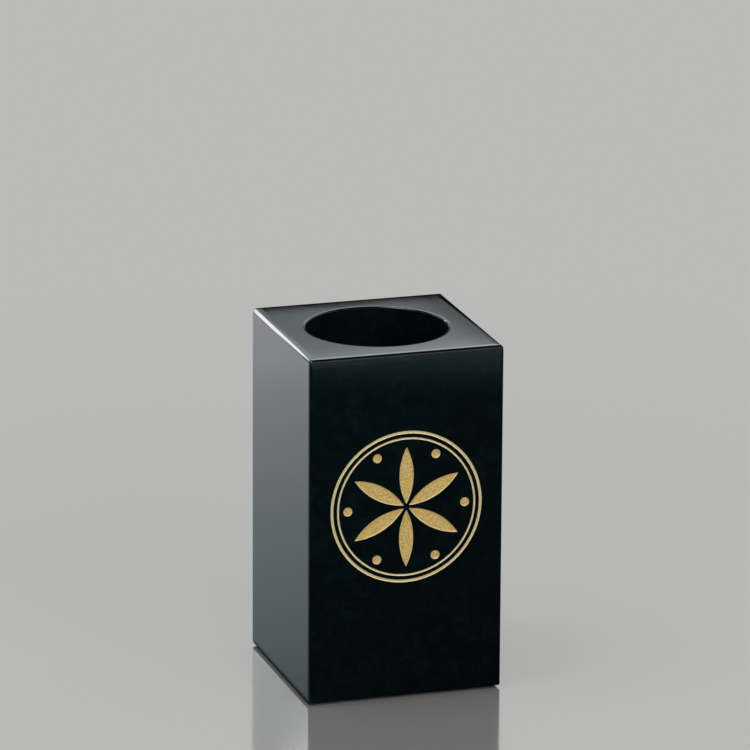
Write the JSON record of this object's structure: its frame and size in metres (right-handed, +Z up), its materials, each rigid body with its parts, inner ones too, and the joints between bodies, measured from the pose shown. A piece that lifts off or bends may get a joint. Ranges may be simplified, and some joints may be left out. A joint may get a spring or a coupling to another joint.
{
  "type": "pen holder",
  "caption": "Tall square desk pen holder in polished black marble with a round blind well, a gold-filled rosette medallion engraved on the front and a felt pad under the base.",
  "frame": {"origin": "middle of the underside of the felt pad, on the surface that the holder stands on", "axes": "+Z up along the well, front face with the medallion towards -Y, +X to the right seen from the front"},
  "size_m": [0.0572, 0.0572, 0.1016],
  "materials": {
    "black_marble": "jet black marble, mirror polished, edges ground and polished",
    "gold_fill": "granular gold fill in a sandblasted engraving",
    "black_felt": "thin pressed felt, matte"
  },
  "bodies": {
    "root": {"marble_block": "black_marble", "base_pad": "black_felt", "gold_ring_outer": "gold_fill", "gold_ring_inner": "gold_fill", "gold_petal_1": "gold_fill", "gold_petal_2": "gold_fill", "gold_petal_3": "gold_fill", "gold_petal_4": "gold_fill", "gold_petal_5": "gold_fill", "gold_petal_6": "gold_fill", "gold_bead_1": "gold_fill", "gold_bead_2": "gold_fill", "gold_bead_3": "gold_fill", "gold_bead_4": "gold_fill", "gold_bead_5": "gold_fill", "gold_bead_6": "gold_fill"}
  },
  "joints": []
}
